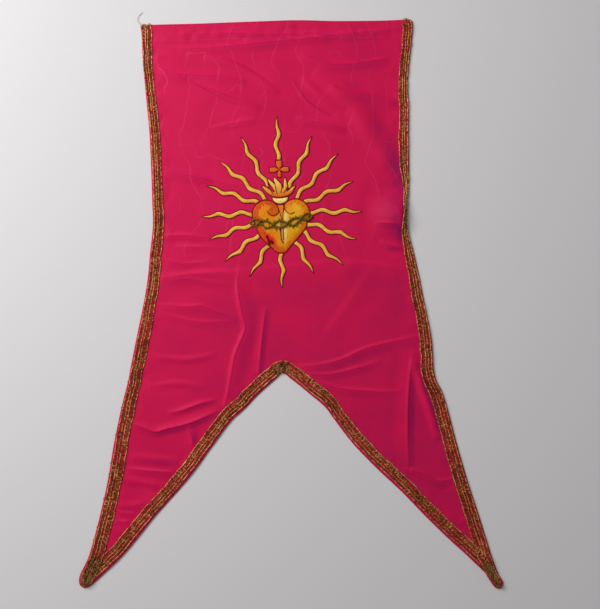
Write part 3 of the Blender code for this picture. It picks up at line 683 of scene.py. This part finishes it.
class Run:
    """One length of braid, laid inside the edge of the cloth from its start to its end."""

    def __init__(self, edge, widths, margins, lead_in=0.0, lead_out=0.0, rise=(0.0, 0.0), narrowed=(0.0, 0.0)):
        step = 1.5
        path = smooth(edge, step)
        count_in, count_out = int(lead_in / step), int(lead_out / step)
        first, last = path[0] - path[3], path[-1] - path[-4]
        before = path[0] + np.outer(np.arange(count_in, 0, -1) * step, first / np.linalg.norm(first))
        after = path[-1] + np.outer(np.arange(1, count_out + 1) * step, last / np.linalg.norm(last))
        self.path = np.vstack([before, path, after])
        normals = left_normals(self.path)
        kernel = np.ones(7) / 7
        padded = np.pad(normals, ((3, 3), (0, 0)), mode="edge")
        normals = np.column_stack([np.convolve(padded[:, i], kernel, "valid") for i in (0, 1)])
        self.normals = normals / np.linalg.norm(normals, axis=1, keepdims=True)
        self.s = lengths(self.path)
        self.width, self.margin = (from_table(rows, self.path[:, 1]) for rows in (widths, margins))
        self.margin = self.margin + WAVER * along_noise(self.s, 9.0, 90)
        self.width = self.width + 1.5 * WAVER * along_noise(self.s, 13.0, 91)
        from_start, from_end = self.s, self.s[-1] - self.s
        self.rise = rise[0] * np.clip(1 - from_start / 70, 0, 1) + rise[1] * np.clip(1 - from_end / 70, 0, 1)
        self.width = self.width * (1 - narrowed[0] * np.clip(1 - from_start / 34, 0, 1))
        self.width = self.width * (1 - narrowed[1] * np.clip(1 - from_end / 34, 0, 1))

    def at(self, s, t, height):
        """Points at s mm along the braid and t of its width, from 0 at its outer edge to 1, over the silk."""
        def read(values):
            return np.interp(s, self.s, values)

        inward = read(self.margin) + t * read(self.width)
        plane = np.column_stack([
            read(self.path[:, axis]) + read(self.normals[:, axis]) * inward for axis in (0, 1)
        ])
        return np.column_stack([plane, silk_top(plane) + height + read(self.rise)])


def along_noise(s, cell, seed):
    return noise(np.column_stack([s, np.zeros_like(s)]), cell, seed)


def tarnish(s, seed):
    """How dull the metal thread is along a run, from 0 to 1."""
    return np.clip(0.35 + 0.6 * along_noise(s, 34.0, seed) + 0.4 * along_noise(s, 9.0, seed + 1), 0, 1)


def painted_glints(s, seed):
    """Painted glints: how much the metal thread is coloured brighter, where it would catch the light, at each place in
    uneven beads, less where it is tarnished.
    """
    return 0.62 + 0.55 * along_noise(s, 1.3, seed) + 0.2 * along_noise(s, 4.5, seed + 1) - 0.35 * tarnish(s, seed + 2)


def curls(run, seed, shown):
    """Stretches of fine thread laid in loops that wander from one band of the braid to the other."""
    turn = np.arange(0, run.s[-1] * 2 * math.pi / 5.2, 0.34)
    s = turn / (2 * math.pi) * 5.2 + 0.9 * np.sin(turn + 1.2) + 0.8 * along_noise(turn, 9.0, seed)
    band = 0.5 + 0.24 * np.clip(3.5 * along_noise(s, 26.0, seed + 1), -1, 1)
    t = band + (0.18 + 0.05 * along_noise(s, 7.0, seed + 2)) * np.cos(turn)
    kept = (along_noise(s, 19.0, seed + 3) < shown) & (s > 1) & (s < run.s[-1] - 1)
    ends = np.flatnonzero(np.diff(kept.astype(int))) + 1
    for part in np.split(np.arange(len(s)), ends):
        if kept[part[0]] and len(part) > 12:
            yield run.at(s[part], t[part], 1.15 + 0.2 * np.sin(turn[part])), s[part]


def build_run(name, run, cords, seed, shown, replaced=()):
    length = run.s[-1]
    ground, gilt = Pile(), Pile()
    columns = np.array([0.0, 0.03, 0.12, 0.21, 0.3, 0.4, 0.5, 0.6, 0.7, 0.79, 0.88, 0.97, 1.0])
    rises = np.array([0.0, 0.6, 0.64, 0.68, 0.68, 0.62, 0.66, 0.62, 0.68, 0.68, 0.64, 0.6, 0.0])
    s = np.arange(0, length, 1.0)
    along, across = np.repeat(s, len(columns)), np.tile(columns, len(s))
    on_cloth = np.column_stack([along, across * 16])
    bumps = 0.16 * noise(on_cloth, (1.9, 1.6), seed + 5)
    points = run.at(along, across, np.tile(rises, len(s)) + bumps * (np.tile(rises, len(s)) > 0))
    width = len(columns)
    faces = [
        (i * width + j, (i + 1) * width + j, (i + 1) * width + j + 1, i * width + j + 1)
        for i in range(len(s) - 1)
        for j in range(width - 1)
    ]
    dye = blended("weave_dark", "weave", 0.55 + 0.8 * noise(on_cloth, (2.4, 1.7), seed + 9) - 0.5 * tarnish(along, seed))
    dye = over(dye, "metal", 1.6 * noise(on_cloth, (1.3, 1.0), seed + 4) - 0.7)
    ground.add(points, faces, dye, np.column_stack([across * 16, along]))
    ground.piece(f"{name}_ground", WOVEN, "braid", replaced)
    for t, radius in cords:
        s = np.arange(0, length, 0.62)
        own = seed + int(20 * t)
        wander = 0.018 * along_noise(s, 11.0, own) + 0.010 * along_noise(s, 3.2, own + 60)
        path = run.at(s, t + wander, 0.9)
        sides = 7
        points, faces, ridge, grain = tube(path, radius * (1 + 0.3 * along_noise(s, 2.6, own + 7)), sides, lobes=2, pitch=3.4)
        # Painted glints on the gilt cord, with painted shade in its twist grooves and a painted highlight on its
        # strands' crests
        bright = np.repeat(painted_glints(s, own + 30), sides) + 0.3 * (ridge - 0.5)
        gilt.add(points, faces, over(blended("metal_dark", "metal", 2 * bright), "metal_highlight", 2 * bright - 1), grain)
    for path, s in curls(run, seed + 11, shown):
        sides = 4
        points, faces, _, grain = tube(path, 0.3, sides)
        # Painted glints on the loops of fine thread
        bright = np.repeat(painted_glints(s, seed + 13), sides)
        gilt.add(points, faces, over(blended("metal_dark", "metal", 2 * bright), "metal_highlight", 2 * bright - 1), grain)
    return gilt.piece(f"{name}_cords", GILT, "braid")


def thread_heap(pile, point, toward, size, loops, seed, height):
    """Small loops of metal thread heaped where the braid is folded under and sewn down at a point."""
    rng = np.random.default_rng(seed)
    toward = np.array(toward) / np.linalg.norm(toward)
    across = np.array([-toward[1], toward[0]])
    out, aside = rng.uniform(0, 1, 8 * loops) ** 1.2 * size[0], rng.uniform(-1, 1, 8 * loops) * size[1]
    places = point + np.outer(out, toward) + np.outer(aside, across)
    edge = np.vstack([silk_rim, silk_rim[:1]])
    places = places[inside(places, silk_rim) & (np.abs(nearest_on(places, edge)[0]) > 2.7)][:loops]
    for place in places:
        start = rng.uniform(0, 2 * math.pi)
        sweep = np.linspace(start, start + rng.uniform(1.5, 5.0), 12)
        wide, narrow = rng.uniform(1.2, 3.6), rng.uniform(0.5, 1.5)
        local = np.outer(wide * np.cos(sweep), toward) + np.outer(narrow * np.sin(sweep), across)
        path = raised(place + local, height + rng.uniform(0, 1.2) + 0.3 * np.sin(2 * sweep))
        points, faces, ridge, grain = tube(path, 0.38, 5, lobes=2, pitch=2.2)
        # Painted shade in the twist grooves of each loop and a painted highlight on its strands' crests, each loop at
        # its own random tone
        dye = blended("tangle_dark", "tangle", (0.4 + 0.6 * ridge) * rng.uniform(-0.2, 1.1))
        pile.add(points, faces, over(dye, "metal_highlight", ridge * rng.uniform(-1.0, 0.9)), grain)


def build_braid():
    stop = 11.0
    left = smooth(silk_rim[: left_tip + 1], 2.0)
    left = left[lengths(left) < lengths(left)[-1] - stop]
    right = smooth(RIGHT_SIDE, 2.0)
    right = right[lengths(right) > stop]
    notch = smooth(silk_rim[left_tip : right_tip + 1], 2.0)
    along = lengths(notch)
    notch = notch[(along > 22) & (along < along[-1] - 22)]
    notch_run = Run(notch, NOTCH_WIDTHS, NOTCH_MARGINS, narrowed=(0.1, 0.38))
    left_run = Run(left, LEFT_WIDTHS, LEFT_MARGINS, lead_out=2, rise=(0, 1.3))
    right_run = Run(right, RIGHT_WIDTHS, RIGHT_MARGINS, rise=(1.3, 0), narrowed=(0.42, 0))
    build_run("braid_notch", notch_run, NOTCH_CORDS, 40, 0.5, ["gold_braid"])
    build_run("braid_left", left_run, SIDE_CORDS, 10, -0.05)
    build_run("braid_right", right_run, SIDE_CORDS, 70, -0.4)
    lumps = Pile()
    top = silk_rim[apex]
    thread_heap(lumps, silk_rim[left_tip] + (1, 0), (0.46, 0.89), (44, 10), 190, 1, height=2.0)
    thread_heap(lumps, silk_rim[right_tip] + (-1, 0), (-0.52, 0.85), (38, 10), 160, 2, height=2.0)
    thread_heap(lumps, top + (-2, 0), (0.0, 1.0), (14, 9), 60, 3, height=1.2)
    lumps.piece("braid_turns", GILT, "braid")


# The emblem


def on_banner(points):
    """Points of the emblem's own frame, x across and y up from its middle, as they lie on the banner."""
    cos, sin = math.cos(EMBLEM_LEAN), math.sin(EMBLEM_LEAN)
    return np.asarray(points, float) @ [[cos, sin], [-sin, cos]] + EMBLEM


def from_banner(plane):
    cos, sin = math.cos(EMBLEM_LEAN), math.sin(EMBLEM_LEAN)
    return (plane - EMBLEM) @ [[cos, -sin], [sin, cos]]


def corded(pile, path, radius=OUTLINE_CORD, height=0.55, closed=False, dye="cord"):
    """An outline cord laid on the silk along a plane path."""
    points, faces, ridge, grain = tube(raised(path, height), radius, 6, closed, lobes=2, pitch=2.4)
    # Painted shade: the cord is coloured darker in the grooves between its twisted strands and lighter on their crests
    pile.add(points, faces, np.array(linear(dye)) * (0.65 + 0.5 * ridge)[:, None], grain)


def domed(depth, crown, reach):
    return crown * np.sin(math.pi / 2 * np.clip(depth / reach, 0, 1))


def patch(pile, outline, step, dyed, height=0.3, crown=0.8, reach=2.2):
    """A piece of laid stitches inside an outline, dyed by a function of its points and their depth."""
    plane, faces, depth = filled(outline, step)
    pile.add(raised(plane, height + domed(depth, crown, reach)), faces, dyed(plane, depth), plane[:, ::-1])


def build_ray(number):
    node = f"ray_{number:02d}"
    outline = smooth(rim(node), 1.2, closed=True)
    plane, faces, depth = filled(outline, 1.3)
    middle = outline.mean(0)
    out = (middle - EMBLEM) / np.linalg.norm(middle - EMBLEM)
    side = np.array([-out[1], out[0]])
    along, across = (plane - EMBLEM) @ out, (plane - EMBLEM) @ side
    streak = 0.4 + 0.5 * noise(np.column_stack([along, across]), (5.0, 0.9), number)
    pile = Pile()
    dye = blended("gold", "gold_light", streak)
    pile.add(raised(plane, 0.25 + domed(depth, 0.8, 2.2)), faces, dye, np.column_stack([along, across]))
    reach = (outline - EMBLEM) @ out
    thinned = 1 - 0.45 * np.clip((reach - reach.max() + 10) / 10, 0, 1)
    corded(pile, outline, radius=OUTLINE_CORD * thinned, closed=True)
    pile.piece(f"{node}_stitched", STITCH, "gold_silk", [node])


HEART_RIM = smooth(rim("heart"), 1.0, closed=True)


def heart_crown(plane):
    """How far the padded heart stands over the silk."""
    depth = np.abs(nearest_on(plane, np.vstack([HEART_RIM, HEART_RIM[:1]]))[0])
    return np.where(inside(plane, HEART_RIM), 0.3 + domed(depth, 1.7, 18.0) + domed(depth, 0.5, 2.0), 0)


def main_heart_dye(plane, depth):
    """The heart's shading: rust round its left lobe and flank, orange on the right, gold and straw inside."""
    x, y = from_banner(plane).T
    stitches = 0.20 * noise(plane, (0.9, 1.6), 21) + 0.16 * noise(plane, 3.0, 22)
    dye = blended("amber", "lemon", 0.4 + x / 22 + 2 * stitches)
    left_band = np.clip((10.4 - 0.2 * np.clip(y, 0, 15) - depth) / 2.6 + 2 * stitches, 0, 1)
    right_band = np.clip((8.6 - depth) / 4.2 + 2 * stitches, 0, 1)
    left_curl = np.clip((7.4 - np.hypot(x + 10.0, y - 5.6)) / 1.8, 0, 1)
    right_curl = 0.45 * np.clip((7.5 - np.hypot(x - 12.4, y - 9.4)) / 3.0, 0, 1)
    dye = over(dye, "orange", 0.85 * np.maximum(right_band, right_curl) + stitches)
    dye = over(dye, "rust", np.maximum(left_band, left_curl) * np.clip(0.4 - x / 12, 0, 1) * (0.9 + stitches))
    straw = np.exp(-(((x - 4.5) / 2.6) ** 2) - ((y + 22) / 12) ** 2)
    straw += np.exp(-(((x - 5.5) / 3.5) ** 2) - ((y + 2) / 6) ** 2)
    straw += 0.6 * np.exp(-(((x + 4.5) / 3.0) ** 2) - ((y + 11) / 5) ** 2)
    dye = over(dye, "straw", straw * (0.95 + 1.5 * stitches))
    slant = (x + 16.5) * 0.62 + (y + 30.5) * 0.78
    away = (x + 16.5) * 0.78 - (y + 30.5) * 0.62
    sore = np.exp(-((slant / 5.2) ** 2) - (away / 9.5) ** 2)
    return over(dye, "blush", 1.5 * sore - 0.15 + stitches)


def on_heart(points, step=1.0):
    path = on_banner(smooth(points, step))
    return path, heart_crown(path)


def build_heart():
    plane, faces, depth = filled(HEART_RIM, 0.85)
    pile = Pile()
    pile.add(raised(plane, heart_crown(plane)), faces, main_heart_dye(plane, depth), plane[:, ::-1])
    corded(pile, HEART_RIM, radius=0.7, closed=True)
    spear = [(-5.0, 14.6), (-3.4, 10), (-1.3, 3), (0.8, -5.5), (2.0, -5.5), (3.0, 3), (3.6, 10), (4.0, 14.6)]
    stem = [(0.6, -5.5), (-0.4, -20), (-0.3, -30), (0.6, -34), (1.6, -36.5), (1.6, -33), (1.6, -28), (1.6, -5.5)]
    for corners, names in ((spear, ("amber", "rust")), (stem, ("stem", "straw"))):
        outline = on_banner(np.array(corners))
        plane, faces, depth = filled(outline, 1.0)
        share = 0.45 + 0.5 * noise(plane, (1.0, 3.0), 23)
        pile.add(raised(plane, heart_crown(plane) + 0.3), faces, blended(*names, share * 0.5), plane[:, ::-1])
    lines = (
        ([(-10.7, 19.2), (-6.4, 15.6), (-3.2, 8.4), (-4.9, 1.9), (-11.4, -0.4), (-16.4, 2.7), (-18.0, 6.2)], 0.72),
        ([(10.7, 19.2), (6.2, 17.0), (4.6, 10.4), (7.0, 5.3), (11.8, 1.5), (15.4, 1.8), (18.4, 4.0)], 0.68),
        ([(-5.0, 14.6), (-3.4, 10), (-1.3, 3), (0.6, -5)], 0.55),
        ([(4.0, 14.6), (3.6, 10), (3.0, 3), (1.9, -5)], 0.55),
        ([(0.5, -5), (-0.9, -18), (-1.1, -28), (-0.4, -33.5), (1.6, -38.0)], 0.8),
        ([(1.9, -4), (2.1, -18), (2.1, -28), (1.9, -33.5)], 0.5),
    )
    for points, radius in lines:
        path, crown = on_heart(points)
        corded(pile, path, radius=radius, height=crown + 0.45)
    rng = np.random.default_rng(5)
    for across, up, count in ((-20.2, -27.6, 9), (-18.2, -31.8, 8), (-17.6, -35.2, 9), (-13.9, -35.4, 9), (-14.7, -33.0, 5)):
        for _ in range(count):
            start = rng.normal((across, up), 0.7)
            path, crown = on_heart([start, start + (0.6, -1.1), start + (0.9, -2.3)], 0.7)
            corded(pile, path, radius=0.75, height=crown + 0.1, dye="wound")
    pile.piece("heart_stitched", STITCH, "heart_silk", ["heart"])


THORN_MIDDLE = ((-42, -9.2), (-30, -8.4), (-19, -11.8), (-10, -12.8), (-1, -12.2), (8, -12.0), (17, -9.8), (28, -5.0), (36, -3.4), (42, -3.4))
THORN_TURNS = ((-42, 0), (-30, 1), (-11, 2), (8, 3), (27, 4), (42, 5))


def build_thorns():
    """The crown of thorns: two green strands that cross each other, round the front of the heart."""
    pile = Pile()
    x = np.linspace(-42, 42, 150)
    middle = smooth(THORN_MIDDLE, 0.5)
    rng = np.random.default_rng(9)
    for way in (-1, 1):
        turn = math.pi * from_table(THORN_TURNS, x)
        offset = way * 4.4 * np.sign(np.sin(turn)) * np.abs(np.sin(turn)) ** 0.8
        up = np.interp(x, middle[:, 0], middle[:, 1]) + offset + 0.5 * along_noise(x, 4.0, 60 + way)
        plane = on_banner(np.column_stack([x, up]))
        path = raised(plane, heart_crown(plane) + 1.0 + 0.6 * way * np.cos(turn))
        radius = 1.7 + 0.35 * along_noise(x, 3.0, 70 + way)
        points, faces, ridge, grain = tube(path, radius, 8, lobes=2, pitch=4.0)
        # Painted shade in the twist grooves of each strand, with a random tone along it
        pile.add(points, faces, blended("thorn_dark", "thorn", ridge * 0.7 + 0.3 * np.repeat(0.5 + along_noise(x, 2.0, 75), 8)), grain)
        for i in range(5, len(x) - 4, 8):
            run = path[i + 1] - path[i - 1]
            run /= np.linalg.norm(run)
            aside = np.cross([0, 0, 1], run) * (1 if rng.random() < 0.6 else -1)
            spike = path[i] + np.outer(np.linspace(0.3, rng.uniform(3.6, 5.4), 6), aside * 0.9 + run * rng.uniform(-0.5, 0.5))
            spike[:, 2] += 0.3
            points, faces, _, grain = tube(spike, np.linspace(1.2, 0.35, 6), 6)
            pile.add(points, faces, linear("thorn"), grain)
    pile.piece("heart_thorns", STITCH, "heart_silk")


def build_flames():
    outline = smooth(rim("flames"), 0.9, closed=True)
    pile = Pile()

    def flame_dye(plane, depth):
        up = from_banner(plane)[:, 1]
        return blended("orange", "gold_light", (up - 26) / 20 + 0.2 * noise(plane, (1.0, 4.0), 31))

    patch(pile, outline, 0.9, flame_dye)
    corded(pile, outline, closed=True)
    gaps = (
        [(-12.6, 34.6), (-10.6, 31.0), (-9.0, 28.4)],
        [(-5.8, 40.4), (-5.4, 34.4), (-3.9, 28.8)],
        [(2.6, 40.2), (2.2, 34.6), (0.7, 29.6)],
        [(9.6, 37.0), (7.4, 33.4), (4.0, 29.4)],
    )
    for points in gaps:
        corded(pile, on_banner(smooth(points, 0.9)), radius=0.55, height=1.25)
    pile.piece("flames_stitched", STITCH, "gold_silk", ["flames"])


def build_collar():
    outline = smooth(rim("heart_collar"), 0.9, closed=True)
    pile = Pile()
    patch(
        pile, outline, 0.9, lambda plane, depth: blended("cream", "lemon", 0.25 + 0.35 * noise(plane, (1.2, 3.0), 41)),
        height=0.4, crown=1.0, reach=2.4,
    )
    corded(pile, outline, closed=True)
    pile.piece("collar_stitched", STITCH, "cream_silk", ["heart_collar"])


def build_cross():
    outline = smooth(rim("cross"), 0.9, closed=True)
    pile = Pile()
    patch(pile, outline, 0.9, lambda plane, depth: blended("cross", "orange", 0.25 + 0.4 * noise(plane, (1.0, 3.0), 51)))
    corded(pile, outline, closed=True)
    for way in (-1, 1):
        slant = np.outer(np.linspace(-2.6, 2.6, 8), (1, way)) + (0, 61.8)
        corded(pile, on_banner(slant), radius=0.42, height=1.1)
    pile.piece("cross_stitched", STITCH, "orange_silk", ["cross"])


# Small sewing


def build_hem_stitches():
    pile = Pile()
    line = smooth(TOP_EDGE[::-1], 3.2)
    line = line[(line[:, 0] > line[0, 0] + 16) & (line[:, 0] < line[-1, 0] - 15)]
    for place in line:
        stitch = np.column_stack([place[0] + np.linspace(-0.8, 0.8, 5), np.full(5, place[1] - HEM_DEPTH + 3.4)])
        path = raised(stitch, 0.06 + 0.12 * np.sin(np.linspace(0, math.pi, 5)))
        points, faces, _, grain = tube(path, 0.34, 5)
        pile.add(points, faces, linear("hem_thread"), grain)
    pile.piece("hem_stitches", STITCH, "silk")


def build_loose_ends():
    """The loose thread at the top left corner, and the frayed ends of the braid."""
    corner, other = silk_rim[0], silk_rim[top_right]
    pile = Pile()
    thread = smooth(corner + np.array([(1.5, -5), (-1.5, 1), (-4.6, 6), (-3.6, 12), (2.2, 17.5)]), 1.0)
    path = np.column_stack([thread, np.interp(np.arange(len(thread)), [0, 6, len(thread) - 1], [3.4, 1.5, 0.5])])
    points, faces, _, grain = tube(path, 0.22, 5)
    pile.add(points, faces, linear("weave"), grain)
    rng = np.random.default_rng(11)
    for place, lean in ((corner, 1), (other, -1)):
        for _ in range(16):
            start = place + (lean * rng.uniform(2.5, 13), -rng.uniform(0.5, 3))
            bend = start + (rng.normal(0, 0.7), rng.uniform(1, 2.5))
            tip = bend + (rng.normal(0, 1.2), rng.uniform(0.3, 1.8))
            fray = raised(smooth([start, bend, tip], 0.7), 1.2)
            points, faces, _, grain = tube(fray, 0.26, 4)
            pile.add(points, faces, blended("metal_dark", "metal", np.full(len(points), rng.uniform())), grain)
    left = silk_rim[: left_tip + 1]
    for up in (-104.0, -139.0, -176.0, -214.0, -229.0, -262.0, -300.0, -318.0):
        edge = np.array([np.interp(-up, -left[:, 1], left[:, 0]), up])
        sweep = np.linspace(0.6, 5.6, 12)
        reach = rng.uniform(1.0, 1.7)
        loop = raised(edge + reach * np.column_stack([0.4 - np.sin(sweep / 2), np.cos(sweep)]), 0.9)
        points, faces, _, grain = tube(loop, 0.25, 4)
        pile.add(points, faces, blended("metal_dark", "metal", np.full(len(points), rng.uniform())), grain)
    pile.piece("loose_ends", GILT, "braid")


# The stage


def build_stage():
    mesh = bpy.data.meshes.new("table_top")
    far, level = 3.0, -0.0003
    mesh.from_pydata([(-far, -far, level), (far, -far, level), (far, far, level), (-far, far, level)], [], [(0, 1, 2, 3)])
    floor = bpy.data.objects.new("table_top", mesh)
    made, _, _ = new_material("pale_table", Base_Color=(0.61, 0.60, 0.61, 1), Roughness=0.95)
    mesh.materials.append(made)
    bpy.context.scene.collection.objects.link(floor)


def area_light(name, place, size, power, colour=(1, 1, 1)):
    light = bpy.data.lights.new(name, "AREA")
    light.size, light.energy, light.color = size, power, colour
    made = bpy.data.objects.new(name, light)
    made.location = place
    made.rotation_euler = (-Vector(place)).to_track_quat("-Z", "Y").to_euler()
    bpy.context.scene.collection.objects.link(made)


def build_lights():
    area_light("window_light", (-1.15, 0.75, 1.15), 1.1, 35.5, (1.0, 0.99, 0.98))
    area_light("room_light", (0.3, 0.5, 2.4), 2.2, 5.5, (1.0, 0.99, 0.99))
    world = bpy.data.worlds.new("room")
    world.use_nodes = True
    world.node_tree.nodes["Background"].inputs[0].default_value = (1.0, 0.985, 0.985, 1)
    world.node_tree.nodes["Background"].inputs[1].default_value = 0.21
    bpy.context.scene.world = world


def build_camera():
    data = bpy.data.cameras.new("camera")
    data.sensor_width = 36.0
    data.lens = data.sensor_width * CAMERA_UP / VIEW_HEIGHT
    camera = bpy.data.objects.new("camera", data)
    camera.location = (VIEW_CENTRE[0] * MM, VIEW_CENTRE[1] * MM, CAMERA_UP * MM)
    bpy.context.scene.collection.objects.link(camera)
    bpy.context.scene.camera = camera


def main():
    build_camera()
    silk, area = build_silk()
    build_braid()
    for number in range(1, 17):
        build_ray(number)
    build_heart()
    build_thorns()
    build_flames()
    build_collar()
    build_cross()
    build_hem_stitches()
    build_loose_ends()
    build_stage()
    build_lights()
    bpy.context.scene.view_settings.view_transform = "Standard"


main()
